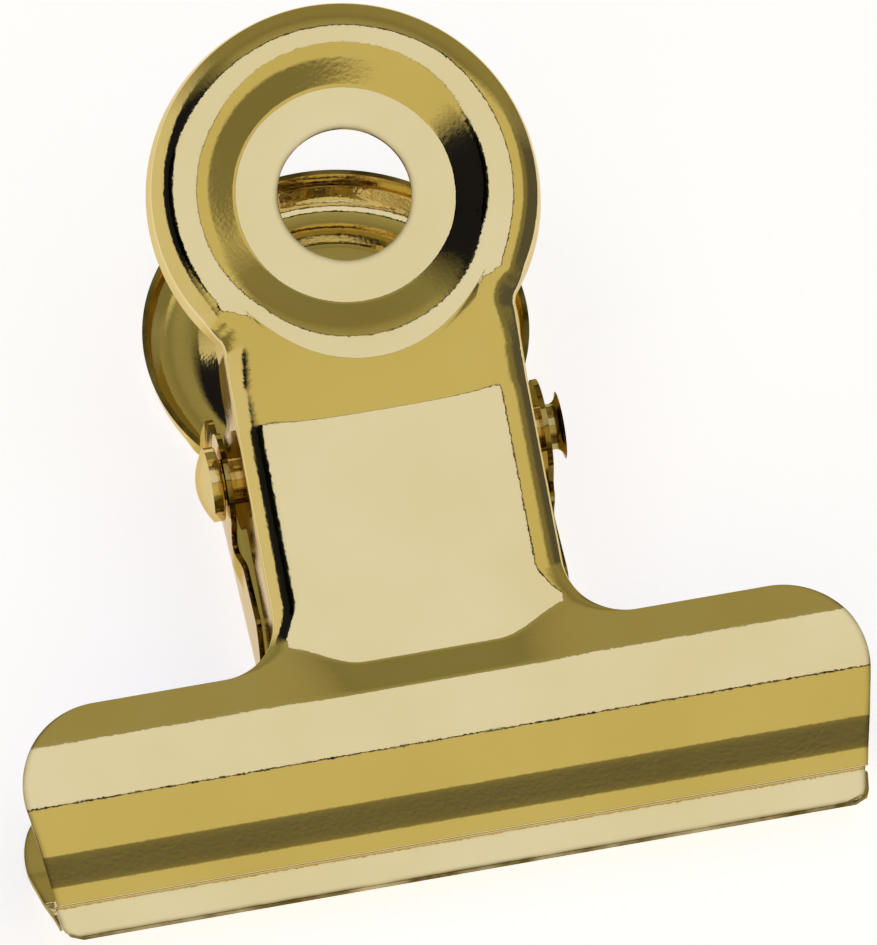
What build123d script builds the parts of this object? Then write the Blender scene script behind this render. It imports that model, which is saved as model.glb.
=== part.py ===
"""A bulldog clip: two pressed plates, a hollow hinge rivet and a torsion spring.

Millimetres. The clip lies on its rear plate: X runs along the hinge, -Y points to the
jaws, +Y to the thumb discs and +Z up. The origin is under the middle of the clip.
Each plate is drawn in its own frame first, with the hinge axis along X through the
origin, y towards the thumb disc and z out of the plate's outer face.
"""
import os
from math import acos, atan2, cos, degrees, pi, radians, sin, sqrt, tan

from build123d import *

os.makedirs("parts", exist_ok=True)

# Sheet metal and fits
sheet = 0.5                  # thickness of the pressed steel
ear_clearance = 1.0          # mean side gap between the nested ears
side_shift = 0.4             # the front plate lies this far to the left within that play
pin_clearance = 0.05         # running fit of the rivet in the ears, on the radius
lip_gap = 0.04               # the lips at rest, just short of touching
leg_clearance = 0.1          # spring leg to the plate that it presses on

# How the two plates stand to each other
spread_angle = 23.0          # between the two plates when the jaws are shut

# Heights over the hinge axis, to the plate's outer face
panel_height = 12.7          # flat panel of the neck
crown_height = 14.6          # ridge of the thumb disc and crest of the jaw
floor_height = 12.8          # sunk floor round the hanging hole
rim_height = 11.4            # free edge of the turned rim

# Thumb disc
disc_reach = 21.3            # hinge axis to the middle of the disc
rim_diameter = 34.8
rim_flare = 1.1              # how far the rim opens out towards its edge
rim_bend = 2.4               # shoulder between ridge and rim
hole_diameter = 11.8
floor_diameter = 19.4
ridge_diameter = 26.4        # where the slope from the floor reaches the ridge
floor_bend = 1.0
ridge_bend = 3.0

# Neck, a channel with an ear on each side
neck_width = 26.0            # over the front plate's flanges
neck_bend = 2.9              # outside radius between panel and flange
flange_edge = 3.4            # height of the flange's free edge
flange_top = 9.2             # where the free edge starts, on the disc side
flange_end = 14.5            # where the free edge ends, on the jaw side
flange_corner = 7.4          # height at which the flange runs into the jaw
ear_radius = 4.4
ear_fillet = 2.0
pin_diameter = 4.1

# Jaw
jaw_width = 75.0             # across the crest
lip_width = 71.2             # across the lip
shoulder_reach = 19.4        # hinge axis to the jaw's upper edge
shoulder_radius = 7.5
throat_radius = 5.3          # between neck and jaw
web_reach = 8.0              # where the flat panel starts to widen towards the throat
lip_corner = 1.4
rise_start = 17.8            # hinge axis to where the panel turns outwards
rise_run = 5.5               # from there to the crest
crest_run = 5.0              # flat of the crest
brow_run = 3.8               # gentle slope under the crest
brow_drop = 1.7
cheek_run = 2.5              # steeper slope under the brow
cheek_drop = 2.0
lip_reach = 39.6             # hinge axis to the lip's edge, along the closing plane
lip_length = 2.7
rise_bend = 3.0
crest_bend = 3.0
brow_bend = 3.0
cheek_bend = 2.0
lip_bend = 0.9

# Hinge rivet
head_inner = 14.5            # from the middle of the clip to the formed head
head_diameter = 6.6
head_edge = 1.0
head_dome = 1.1
flare_start = 15.1
flare_length = 1.1
flare_diameter = 6.0
bore_diameter = 2.7
bore_depth = 6.0

# Torsion spring
wire = 1.5
coil_diameter = 7.2          # through the middle of the wire
coil_length = 19.4           # between the two legs
coil_turns = 9
foot_reach = 5.5             # hinge axis to the foot of each leg, along the plate

half_spread = spread_angle / 2
closing = radians(half_spread)
neck_half = neck_width / 2
rear_neck_half = neck_half + ear_clearance + sheet
rim_radius = rim_diameter / 2
pin_radius = pin_diameter / 2
jaw_half = jaw_width / 2
lip_half = lip_width / 2
rise_end = rise_start + rise_run
crest_end = rise_end + crest_run
brow_reach = crest_end + brow_run
brow_height = crown_height - brow_drop
cheek_reach = brow_reach + cheek_run
cheek_height = brow_height - cheek_drop
lip_y = lip_reach * cos(closing)
far_rim = disc_reach + rim_radius
hinge_height = crown_height
hinge_y = (lip_y - far_rim) / 2


def on_lip(reach, height):
    """Plate point at a reach along the closing plane and a height above it."""
    return (height * sin(closing) - reach * cos(closing),
            reach * sin(closing) + height * cos(closing))


def bend_radii(points, wanted):
    """Each bend's radius, or the largest one that the straight runs beside it leave room for."""
    radii = []
    for before, corner, after, radius in zip(points, points[1:], points[2:], wanted):
        first_run = Vector(*corner) - Vector(*before)
        second_run = Vector(*after) - Vector(*corner)
        room = 0.48 * min(first_run.length, second_run.length)
        radii.append(min(radius, room / tan(radians(first_run.get_angle(second_run)) / 2)))
    return radii


def pressed_plate(half_width):
    """One plate with its neck half_width wide on each side, in its own frame."""
    bend_top = panel_height - neck_bend
    flat_half = half_width - neck_bend
    channel_top = disc_reach - sqrt(rim_radius ** 2 - half_width ** 2) + sheet
    lip_face = lip_gap / 2 + sheet
    blank_height = 2 * crown_height
    # The jaw's tapered side runs tangent from its rounded shoulder to the lip's corner.
    corner_x = jaw_half - shoulder_radius
    corner_y = -shoulder_reach - shoulder_radius
    side_x, side_y = lip_half - corner_x, -lip_y - corner_y
    taper_angle = degrees(atan2(side_y, side_x) + acos(shoulder_radius / sqrt(side_x ** 2 + side_y ** 2)))

    disc_profile = [
        (hole_diameter / 2, floor_height),
        (floor_diameter / 2, floor_height),
        (ridge_diameter / 2, crown_height),
        (rim_radius - rim_flare, crown_height),
        (rim_radius, rim_height),
    ]
    jaw_profile = [
        (channel_top, panel_height),
        (-rise_start, panel_height),
        (-rise_end, crown_height),
        (-crest_end, crown_height),
        (-brow_reach, brow_height),
        (-cheek_reach, cheek_height),
        on_lip(lip_reach - lip_length, lip_face),
        on_lip(lip_reach, lip_face),
    ]

    # Thumb disc: hanging hole, sunk floor, ridge and turned rim in one revolved sheet.
    with BuildPart() as dish:
        with BuildSketch(Plane.XZ.offset(-disc_reach)):
            with BuildLine():
                FilletPolyline(
                    *disc_profile,
                    radius=bend_radii(disc_profile, [floor_bend, ridge_bend, rim_bend]),
                )
                offset(amount=sheet, side=Side.RIGHT)
            make_face()
        revolve(axis=Axis((0, disc_reach, 0), (0, 0, 1)))
        # The rim stops where the neck begins, half way into the panel's sheet.
        with BuildSketch(Plane.XY.offset(rim_height - sheet)):
            with Locations((0, disc_reach - rim_radius)):
                Rectangle(2 * (half_width - sheet), rim_radius)
        extrude(amount=panel_height - rim_height + sheet / 2, mode=Mode.SUBTRACT)

    # Flange with its ear, drawn from the side and repeated on the other side.
    with BuildPart() as flanges:
        with BuildSketch(Plane.YZ.offset(half_width - sheet)):
            with BuildLine():
                Polyline(
                    (channel_top, bend_top),
                    (flange_top, flange_edge),
                    (-flange_end, flange_edge),
                    (-rise_start, flange_corner),
                    (-rise_start, bend_top),
                    close=True,
                )
            make_face()
            with Locations((0, flange_edge / 2)):
                Rectangle(2 * ear_radius, flange_edge)
            Circle(ear_radius)
        extrude(amount=sheet)
        inner_corners = flanges.edges().filter_by(Axis.X).filter_by(
            lambda edge: abs(edge.center().Z - flange_edge) < 0.01
            and abs(abs(edge.center().Y) - ear_radius) < 0.01
        )
        fillet(inner_corners, radius=min(ear_fillet, 0.9 * (flange_top - ear_radius)))
        mirror(about=Plane.YZ)
        with BuildSketch(Plane.YZ.offset(-jaw_half)):
            Circle(pin_radius + pin_clearance)
        extrude(amount=jaw_width, mode=Mode.SUBTRACT)

    # Rounded bends between the panel and the flanges.
    with BuildPart() as bends:
        with BuildSketch(Plane.XZ.offset(-channel_top)):
            with BuildLine():
                Line((0, panel_height), (flat_half, panel_height))
                TangentArc((flat_half, panel_height), (half_width, bend_top), tangent=(1, 0))
                offset(amount=sheet, side=Side.RIGHT)
            make_face()
        extrude(amount=channel_top + rise_start)
        mirror(about=Plane.YZ)

    with BuildPart() as plate:
        # Panel, jaw and lip follow one side profile.
        with BuildSketch(Plane.YZ):
            with BuildLine():
                FilletPolyline(
                    *jaw_profile,
                    radius=bend_radii(
                        jaw_profile,
                        [rise_bend, crest_bend, crest_bend, brow_bend, cheek_bend, lip_bend],
                    ),
                )
                offset(amount=sheet, side=Side.LEFT)
            make_face()
        extrude(amount=jaw_width, both=True)
        # The blank's outline: neck, rounded throat, shoulders, taper and lip corners.
        with BuildSketch(Plane.XY) as outline:
            with BuildLine():
                Line((0, -shoulder_reach), (corner_x, -shoulder_reach))
                corner = CenterArc((corner_x, corner_y), shoulder_radius, taper_angle, 90 - taper_angle)
                Line(corner @ 0, (lip_half, -lip_y))
                Line((lip_half, -lip_y), (0, -lip_y))
                Line((0, -lip_y), (0, -shoulder_reach))
            make_face()
            lip_corners = outline.vertices().filter_by(
                lambda corner: abs(corner.X - lip_half) < 0.01
            )
            fillet(lip_corners, radius=lip_corner)
            mirror(about=Plane.YZ)
            with BuildLine():
                Polyline(
                    (-flat_half, -web_reach),
                    (flat_half, -web_reach),
                    (half_width, -shoulder_reach),
                    (-half_width, -shoulder_reach),
                    close=True,
                )
            make_face()
            throats = outline.vertices().filter_by(
                lambda corner: abs(corner.Y + shoulder_reach) < 0.01
                and abs(abs(corner.X) - half_width) < 0.01
            )
            fillet(throats, radius=throat_radius)
            with Locations((0, 0)):
                Rectangle(2 * flat_half, 2 * channel_top)
        extrude(amount=blank_height, mode=Mode.INTERSECT)
        add(bends.part)
        add(flanges.part)
        # The channel ends in the disc's shoulder.
        with BuildSketch(Plane.XY):
            with Locations((0, disc_reach)):
                Circle(rim_radius - sheet)
        extrude(amount=blank_height, mode=Mode.SUBTRACT)
        add(dish.part)
    return plate.part


front_blank = pressed_plate(neck_half)
rear_blank = pressed_plate(rear_neck_half)

# Front plate, raised by the spread angle about the hinge.
with BuildPart() as front_plate:
    add(front_blank.moved(Location((-side_shift / 2, hinge_y, hinge_height), (spread_angle, 0, 0))))
front_plate.part.label = "front_plate"

# Rear plate, face down, with its ears outside those of the front plate.
with BuildPart() as rear_plate:
    add(rear_blank.moved(Location((side_shift / 2, hinge_y, hinge_height), (0, 180, 0))))
rear_plate.part.label = "rear_plate"

# Hinge rivet: domed head on the left, drilled and flared end on the right.
with BuildPart() as hinge_pin:
    with BuildSketch(Plane((0, hinge_y, hinge_height), x_dir=(1, 0, 0), z_dir=(0, -1, 0))):
        with BuildLine():
            head_face = -head_inner - head_edge
            crown = head_face - head_dome
            head_radius = head_diameter / 2
            flare_end = flare_start + flare_length
            flare_radius = flare_diameter / 2
            bore_radius = bore_diameter / 2
            bore_floor = flare_start - bore_depth
            flare_wall = pin_radius - bore_radius
            dome_bulge = 0.75 * head_radius
            dome_middle = head_face - head_dome * (1 - (dome_bulge / head_radius) ** 2)
            ThreePointArc((crown, 0), (dome_middle, dome_bulge), (head_face, head_radius))
            Line((head_face, head_radius), (-head_inner, head_radius))
            Line((-head_inner, head_radius), (-head_inner, pin_radius))
            Line((-head_inner, pin_radius), (flare_start, pin_radius))
            TangentArc((flare_start, pin_radius), (flare_end, flare_radius), tangent=(1, 0))
            Line((flare_end, flare_radius), (flare_end, flare_radius - flare_wall))
            TangentArc((flare_end, flare_radius - flare_wall), (flare_start, bore_radius),
                       tangent=(-flare_length, flare_wall - flare_radius))
            Line((flare_start, bore_radius), (bore_floor, bore_radius))
            Line((bore_floor, bore_radius), (bore_floor, 0))
            Line((bore_floor, 0), (crown, 0))
        make_face()
    revolve(axis=Axis((0, hinge_y, hinge_height), (1, 0, 0)))
hinge_pin.part.label = "hinge_pin"

# Torsion spring: a straight leg under each plate and a coil round the rivet.
coil_radius = coil_diameter / 2
foot_height = panel_height - sheet - wire / 2 - leg_clearance
foot_distance = sqrt(foot_reach ** 2 + foot_height ** 2)
foot_angle = closing + atan2(foot_height, foot_reach)
leave_angle = foot_angle + acos(coil_radius / foot_distance)
total_angle = radians(360 * (coil_turns + 1)) - 2 * leave_angle
half_turns = 2 * coil_turns + 1
climb = coil_length / total_angle


def about_hinge(x, radius, angle):
    """Point at a radius from the hinge axis and an angle from the closing plane."""
    lean = angle + closing
    return Vector(x, hinge_y + radius * cos(lean), hinge_height + radius * sin(lean))


def coil_point(turned):
    """Middle of the wire after a turned angle of the coil, in radians."""
    return about_hinge(climb * turned - coil_length / 2, coil_radius, leave_angle + turned)


def coil_direction(turned):
    """Direction of the wire there. The two ends run square to the hinge, into the legs."""
    lean = leave_angle + turned + closing
    along = 0 if turned <= 0 or turned >= total_angle else climb
    return Vector(along, -coil_radius * sin(lean), coil_radius * cos(lean)).normalized()


front_foot = about_hinge(-coil_length / 2, foot_distance, foot_angle)
rear_foot = about_hinge(coil_length / 2, foot_distance, -foot_angle)

with BuildPart() as torsion_spring:
    with BuildLine() as wire_path:
        Line(front_foot, coil_point(0))
        for number in range(half_turns):
            first = total_angle * number / half_turns
            last = total_angle * (number + 1) / half_turns
            start, end = coil_point(first), coil_point(last)
            out, back = coil_direction(first), coil_direction(last)
            chord, both = end - start, out + back
            spare = 2 * (1 - out.dot(back))
            reach = (sqrt(chord.dot(both) ** 2 + spare * chord.dot(chord)) - chord.dot(both)) / spare
            joint = (start + end + (out - back) * reach) * 0.5
            TangentArc(start, joint, tangent=out)
            along = (joint - start).normalized()
            TangentArc(joint, end, tangent=along * (2 * out.dot(along)) - out)
        Line(coil_point(total_angle), rear_foot)
    with BuildSketch(Plane(front_foot, z_dir=coil_point(0) - front_foot)):
        Circle(wire / 2)
    sweep(path=wire_path.wires()[0])
torsion_spring.part.label = "torsion_spring"

# The spring's least gap to itself, on points along the wire.
trail = [wire_path.wires()[0].position_at(step / 1200) for step in range(1201)]
spacing = wire_path.wires()[0].length / 1200
apart = int(coil_radius * 3 / spacing)
nearest = min(
    (one - other).length
    for place, one in enumerate(trail)
    for other in trail[place + apart:]
)
print("spring, least gap to itself:", round(nearest - wire, 3), "mm over", coil_turns, "turns")
print("spring volume against wire section times length:",
      round(torsion_spring.part.volume / (pi * wire ** 2 / 4 * wire_path.wires()[0].length), 4))

export_step(front_plate.part, "parts/front_plate.step")
export_step(rear_plate.part, "parts/rear_plate.step")
export_step(hinge_pin.part, "parts/hinge_pin.step")
export_step(torsion_spring.part, "parts/torsion_spring.step")
for piece in (front_plate, rear_plate, hinge_pin, torsion_spring):
    size = piece.part.bounding_box().size
    print(piece.part.label, len(piece.part.solids()), "solid,", round(piece.part.volume, 2), "mm3,",
          round(size.X, 2), round(size.Y, 2), round(size.Z, 2))
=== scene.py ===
# %% [markdown]
# A bulldog clip, dressed for its picture.
# The real clip is two pressed, brass-plated plates that turn on one rivet, with a coil spring
# between them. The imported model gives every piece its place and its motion. This lesson loads it,
# and then gives each piece its finished surface, its material and its light.

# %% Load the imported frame
import math
import bmesh
import bpy
import numpy as np
from mathutils import Matrix, Vector
from types import SimpleNamespace


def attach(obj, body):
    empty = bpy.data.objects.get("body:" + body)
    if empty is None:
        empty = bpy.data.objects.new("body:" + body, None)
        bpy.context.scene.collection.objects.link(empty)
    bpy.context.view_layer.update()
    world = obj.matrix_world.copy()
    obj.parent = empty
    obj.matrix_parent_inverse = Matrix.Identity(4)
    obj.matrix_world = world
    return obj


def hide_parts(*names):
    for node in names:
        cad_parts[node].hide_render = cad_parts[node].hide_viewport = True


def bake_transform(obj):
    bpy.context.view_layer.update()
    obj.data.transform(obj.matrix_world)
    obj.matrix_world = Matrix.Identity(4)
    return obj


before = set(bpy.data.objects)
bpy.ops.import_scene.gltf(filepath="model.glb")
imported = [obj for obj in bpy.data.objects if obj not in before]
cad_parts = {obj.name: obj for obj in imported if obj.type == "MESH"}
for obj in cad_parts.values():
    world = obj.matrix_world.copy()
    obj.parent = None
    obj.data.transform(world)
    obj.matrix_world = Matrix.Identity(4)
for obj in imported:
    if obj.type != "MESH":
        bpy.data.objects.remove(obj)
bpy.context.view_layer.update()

# %% [markdown]
# Every plate point is worked out in millimetres in the plate's own blank: x across the clip, y from
# the hinge towards the disc, z outwards and square to the neck's flat panel, with the hinge on the
# origin. A plate could be pulled out of a subdivided grid by hand, but a pressed part is drawn from
# sizes. So each region is a grid worked out from sizes, and it shares edge points with its neighbours.

# %% Sizes that the whole clip shares, in millimetres
SHEET = 0.5
# Half widths over the neck. The rear plate is wider, because its ears lie outside the front's.
FRONT_HALF = 13.0
REAR_HALF = 14.0
# The plates lean apart by the spread, and the lips close on the plane halfway between them.
SPREAD = math.radians(23.0)
CLOSING = SPREAD / 2
HINGE_Y = 0.0525
HINGE_HEIGHT = 14.6
# Heights of the outer face over the hinge: the neck's flat panel, and the crest of jaw and disc.
PANEL = 12.7
CROWN = 14.6
print("sheet", SHEET, "mm, half widths", FRONT_HALF, REAR_HALF, "hinge at", HINGE_Y, HINGE_HEIGHT)

# %% [markdown]
# A press tool has rounded corners, so a change of height or width in the sheet starts and ends softly.
# Two helpers draw such changes. One is a smooth step, and the other a straight ramp whose two ends
# are rounded. Blender's own curves could be fitted to them, but a formula works on whole arrays.

# %% Smooth step and ramp
def eased(t):
    """The smooth step: three t squared less two t cubed, held at 0 and 1 outside."""
    t = np.clip(t, 0.0, 1.0)
    return t * t * (3 - 2 * t)


def ramp(t, ends):
    """A straight climb from 0 to 1 whose two ends, each the share ends of the way, are parabolas."""
    t = np.clip(t, 0.0, 1.0)
    low = t * t / (2 * ends * (1 - ends))
    high = 1 - (1 - t) ** 2 / (2 * ends * (1 - ends))
    middle = (t - ends / 2) / (1 - ends)
    return np.where(t < ends, low, np.where(t > 1 - ends, high, middle))


print("half way along a ramp:", ramp(np.array(0.5), 0.1))

# %% [markdown]
# Pressed sheet is made of flats that are joined by bends, so its section is a line of straight runs
# with an arc at each corner. A curve with bevelled corners would look alike, but an arc that is worked
# out has exactly the radius that was asked for.

# %% Bent profile
def bent_profile(corners, radii, run_step, turn_step):
    """Straight runs between corners, each inner corner replaced by the arc that touches both runs.

    Pieces of a run are about run_step millimetres long, and pieces of an arc about turn_step degrees.
    """
    corners = np.array(corners, dtype=float)
    pieces = [corners[:1]]
    here = corners[0]
    for index in range(1, len(corners) - 1):
        corner = corners[index]
        back = corners[index - 1] - corner
        ahead = corners[index + 1] - corner
        back = back / np.linalg.norm(back)
        ahead = ahead / np.linalg.norm(ahead)
        half = math.acos(np.clip(back @ ahead, -1, 1)) / 2
        radius = radii[index - 1]
        middle = (back + ahead) / np.linalg.norm(back + ahead)
        centre = corner + middle * radius / math.sin(half)
        start = corner + back * radius / math.tan(half)
        finish = corner + ahead * radius / math.tan(half)
        runs = max(int(np.linalg.norm(start - here) / run_step), 1)
        pieces.append(here + (start - here) * np.linspace(0, 1, runs + 1)[1:, None])
        turn = math.pi - 2 * half
        turns = max(int(math.degrees(turn) / turn_step), 2)
        share = np.linspace(0, 1, turns + 1)[1:, None]
        arc_line = np.sin((1 - share) * turn) * (start - centre) + np.sin(share * turn) * (finish - centre)
        pieces.append(centre + arc_line / math.sin(turn))
        here = finish
    runs = max(int(np.linalg.norm(corners[-1] - here) / run_step), 1)
    pieces.append(here + (corners[-1] - here) * np.linspace(0, 1, runs + 1)[1:, None])
    return np.concatenate(pieces)


print("a right angle of radius 1:", len(bent_profile([(0, 0), (3, 0), (3, 3)], [1.0], 3.0, 10.0)), "points")

# %% [markdown]
# The jaw is one bent line carried across the clip. From its crest the sheet falls in three facets,
# folds back under itself, and runs out into the lip. The lip ends on the closing plane, which leans by
# half of the spread in the blank. The line could be traced as a curve, but each corner is a bend of
# the press tool, so a list of corners with their radii is shorter. Along it, u is minus y.

# %% Jaw profile
LIP_FACE = 0.52
LIP_REACH = 39.6
RISE_END = 23.6
JAW_RADII = [4.0, 2.0, 2.0, 0.15, 0.2]
JAW_RUN_STEP = 0.5
JAW_TURN_STEP = 3.5


def on_lip(reach, height):
    """The blank's (u, z) at a reach along the closing plane and a height over it, by a plain turn."""
    u = reach * math.cos(CLOSING) - height * math.sin(CLOSING)
    z = reach * math.sin(CLOSING) + height * math.cos(CLOSING)
    return u, z


jaw_corners = [
    (RISE_END, CROWN),
    (28.3, CROWN),
    (32.1, 12.99),
    (34.5, 11.35),
    (36.1, 10.67),
    (35.85, 8.55),
    on_lip(LIP_REACH, LIP_FACE),
]
jaw_line = bent_profile(jaw_corners, JAW_RADII, JAW_RUN_STEP, JAW_TURN_STEP)
print("jaw profile of", len(jaw_line), "points, lip end at", jaw_line[-1].round(2))

# %% [markdown]
# Between the neck's flat panel and the crest, the sheet climbs. The climb is short and steep in the
# middle and longer at the sides, which gives the panel its tongue-shaped lower edge. It could be
# sculpted, but a ramp whose foot and end shift with x gives the same soft corner on both plates.

# %% The climb from the panel to the crest
FOOT = 19.6
FOOT_FALL = 3.2
END_BACK = 0.6
CLIMB_ENDS = 0.16
# The middle of the climb reaches out to TONGUE_HALF, and the sides begin TONGUE_EASE further out.
TONGUE_HALF = 6.0
TONGUE_EASE = 7.5


def climb(x, u):
    """Height between panel and crest: a ramp in u, from a foot to an end that shift smoothly with x."""
    across = eased((np.abs(x) - TONGUE_HALF) / TONGUE_EASE)
    foot = FOOT - FOOT_FALL * across
    end = RISE_END - END_BACK * (1 - across)
    return PANEL + (CROWN - PANEL) * ramp((u - foot) / (end - foot), CLIMB_ENDS)


print("height at u = 21: middle", climb(0.0, 21.0).round(2), "side", climb(20.0, 21.0).round(2))

# %% [markdown]
# The plate's outline runs round the disc, through a small fillet into the straight neck, and out
# through the round throat to the jaw. One half is enough, because the plate is the same on both
# sides. A row of stations along it, each with its inward direction, carries the turned-down edge.

# %% Outline of disc, neck and throat
RIM_R = 17.38
DISC_Y = 21.3
JOIN_R = 2.0
THROAT_Y = -19.4
THROAT_R = 5.3
EAR_R = 4.4
EAR_FILLET = 1.44
DISC_STATIONS = 91
JOIN_STATIONS = 12
NECK_STATIONS = [9, 8, 24, 8, 20]
THROAT_STATIONS = 36
ON_DISC, ON_JOIN, ON_NECK, ON_THROAT = range(4)


def arc(centre, radius, turn):
    """Points of a circle, centre plus radius times cosine and sine of turn, and their unit vectors."""
    unit = np.stack([np.cos(turn), np.sin(turn)], 1)
    return np.array(centre) + radius * unit, unit


def outline(half):
    """Stations from the disc's top to the throat's end: three arcs and, after the second, a straight."""
    join_x = half + JOIN_R
    join_y = DISC_Y - math.sqrt((RIM_R + JOIN_R) ** 2 - join_x ** 2)
    low = math.atan2(join_y - DISC_Y, join_x)
    disc, disc_out = arc((0, DISC_Y), RIM_R, np.linspace(math.pi / 2, low, DISC_STATIONS))
    join_turn = np.linspace(math.pi + low, math.pi, JOIN_STATIONS + 1)[1:]
    join, join_in = arc((join_x, join_y), JOIN_R, join_turn)
    ear_top = EAR_R + EAR_FILLET
    stops = [join_y, ear_top, EAR_R, -EAR_R, -ear_top, THROAT_Y + THROAT_R]
    runs = [np.linspace(a, b, n + 1)[1:] for a, b, n in zip(stops, stops[1:], NECK_STATIONS)]
    neck_y = np.concatenate(runs)
    neck = np.stack([np.full_like(neck_y, half), neck_y], 1)
    neck_in = np.stack([np.full_like(neck_y, -1.0), np.zeros_like(neck_y)], 1)
    turn = np.linspace(math.pi, 1.5 * math.pi, THROAT_STATIONS + 1)[1:]
    throat, throat_in = arc((half + THROAT_R, THROAT_Y + THROAT_R), THROAT_R, turn)
    counts = [len(disc), len(join), len(neck), len(throat)]
    return SimpleNamespace(
        point=np.concatenate([disc, join, neck, throat]),
        inward=np.concatenate([-disc_out, join_in, neck_in, throat_in]),
        kind=np.repeat([ON_DISC, ON_JOIN, ON_NECK, ON_THROAT], counts),
        throat_turn=np.concatenate([np.zeros(sum(counts[:3])), turn - math.pi]),
    )


print("outline of", len(outline(FRONT_HALF).point), "stations")

# %% [markdown]
# Along disc and neck the sheet turns down in a skirt. Its section is a flat strip, a wide bend that
# breaks off at a set angle, a straight slope, a tight fold and a wall. On the real plate this is a
# short, leaning rim round the disc and a deep, upright flange along the neck. A swept curve would
# keep one section, so here the sizes of the section ease from one form to the other along the way.

# %% Sizes of the skirt's section along the outline
RIDGE_OUT = 14.0
PANEL_TOP = 1.9
RIM_BEND = 3.2
NECK_BEND = 4.3
RIM_SLOPE = 0.75
NECK_SLOPE = 0.45
SKIRT_FLAT = 0.15
FOLD_BEND = 0.6
BEND_BREAK = math.radians(39.0)
RIM_LEAN = math.radians(80.0)
# Where along the edge the changes between rim and flange begin, and how long they take.
SQUARE_BEFORE = 2.6
SQUARE_RUN = 2.8
SETTLE_RUN = 3.0
# Near the join between disc and neck the bend breaks off earlier, by up to this angle.
JOIN_EASE = math.radians(7.0)
JOIN_MIDDLE = 0.5
JOIN_REACH = 6.0
# The skirt fades out over this turn of the throat.
FADE_TURN = math.radians(85.0)
FADE_POWER = 1.6
# Each end of the ramp between disc and panel is rounded over this share of it.
RAMP_ENDS = 0.05


def skirt_sizes(half):
    """The outline's stations with the sizes of the section at each, eased along the run from the disc.

    square goes from 0 on the leaning rim to 1 on the upright flange, and fade from 1 to 0 along the
    throat. inner is the line where the section starts, and base its height: crest, ramp, panel, climb.
    """
    s = outline(half)
    step = np.linalg.norm(np.diff(s.point, axis=0), axis=1)
    way = np.concatenate([[0.0], np.cumsum(step)])
    s.first = np.argmax(s.kind > ON_DISC) - 1
    s.run = way - way[s.first]
    s.square = eased((s.run + SQUARE_BEFORE) / SQUARE_RUN)
    settle = eased(s.run / SETTLE_RUN)
    s.fade = np.clip(1 - s.throat_turn / FADE_TURN, 0.0, 1.0) ** FADE_POWER
    s.lean = RIM_LEAN + (math.pi / 2 - RIM_LEAN) * s.square
    s.bend = (RIM_BEND + (NECK_BEND - RIM_BEND) * eased(s.run / JOIN_REACH)) * s.fade
    s.break_at = BEND_BREAK - JOIN_EASE * eased(1 - np.abs(s.run - JOIN_MIDDLE) / JOIN_REACH)
    s.fold = FOLD_BEND * s.fade ** 2
    break_sine = math.sin(BEND_BREAK)
    neck_inset = NECK_BEND * break_sine + FOLD_BEND * (1 - break_sine) + NECK_SLOPE
    s.inset = ((RIM_R - RIDGE_OUT) + (neck_inset - RIM_R + RIDGE_OUT) * settle) * s.fade
    width = s.bend * np.sin(s.break_at) + s.fold * (np.sin(s.lean) - np.sin(s.break_at))
    slope = (RIM_SLOPE + (NECK_SLOPE - RIM_SLOPE) * settle) * s.fade
    s.slope = np.maximum(slope, (s.inset - width - SKIRT_FLAT) * s.square)
    s.width = width + s.slope
    depth = s.bend * (1 - np.cos(s.break_at)) + s.slope * np.tan(s.break_at)
    s.depth = depth + s.fold * (np.cos(s.break_at) - np.cos(s.lean))
    s.inner = s.point + s.inward * s.inset[:, None]
    top = s.inner[s.first, 1]
    share = (top - s.inner[:, 1]) / (top - PANEL_TOP)
    s.share = np.where(s.kind == ON_DISC, 0.0, np.clip(share, 0.0, 1.0))
    base = CROWN - (CROWN - PANEL) * ramp(s.share, RAMP_ENDS)
    s.base = np.where(s.share < 1, base, climb(s.inner[:, 0], -s.inner[:, 1]))
    return s


front = skirt_sizes(FRONT_HALF)
print("section", front.inset.max().round(2), "wide at most, bend radius up to", front.bend.max())

# %% [markdown]
# The skirt ends in a cut edge. Its height follows the flange, curves in beside the ear, rises to the
# rim at the disc, and runs out to the sheet itself along the throat. With that edge known, the wall
# takes up what is left of the height, and the section is laid out station by station as one array.

# %% The skirt as a section carried along the outline
RIM = 11.4
FLANGE = 3.4
FLANGE_CORNER = 4.0
FLANGE_END = -12.5
FLANGE_RUN_OUT = 5.6
FLAT_COLUMNS = 3
BEND_COLUMNS = 13
SLOPE_COLUMNS = 4
FOLD_COLUMNS = 6
WALL_COLUMNS = 8


def cut_height(s):
    """Height of the cut edge: circles beside the ear, a quarter ellipse up to the rim, an eased end."""
    y = s.point[:, 1]
    beside_ear = np.clip(EAR_R + EAR_FILLET - np.abs(y), 0.0, EAR_FILLET)
    height = FLANGE - (EAR_FILLET - np.sqrt(EAR_FILLET ** 2 - beside_ear ** 2))
    corner = 1 - np.clip(s.run / FLANGE_CORNER, 0.0, 1.0)
    height = height + (RIM - FLANGE) * (1 - np.sqrt(1 - corner ** 2))
    return height + (s.base - height) * eased((FLANGE_END - y) / FLANGE_RUN_OUT)


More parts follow.
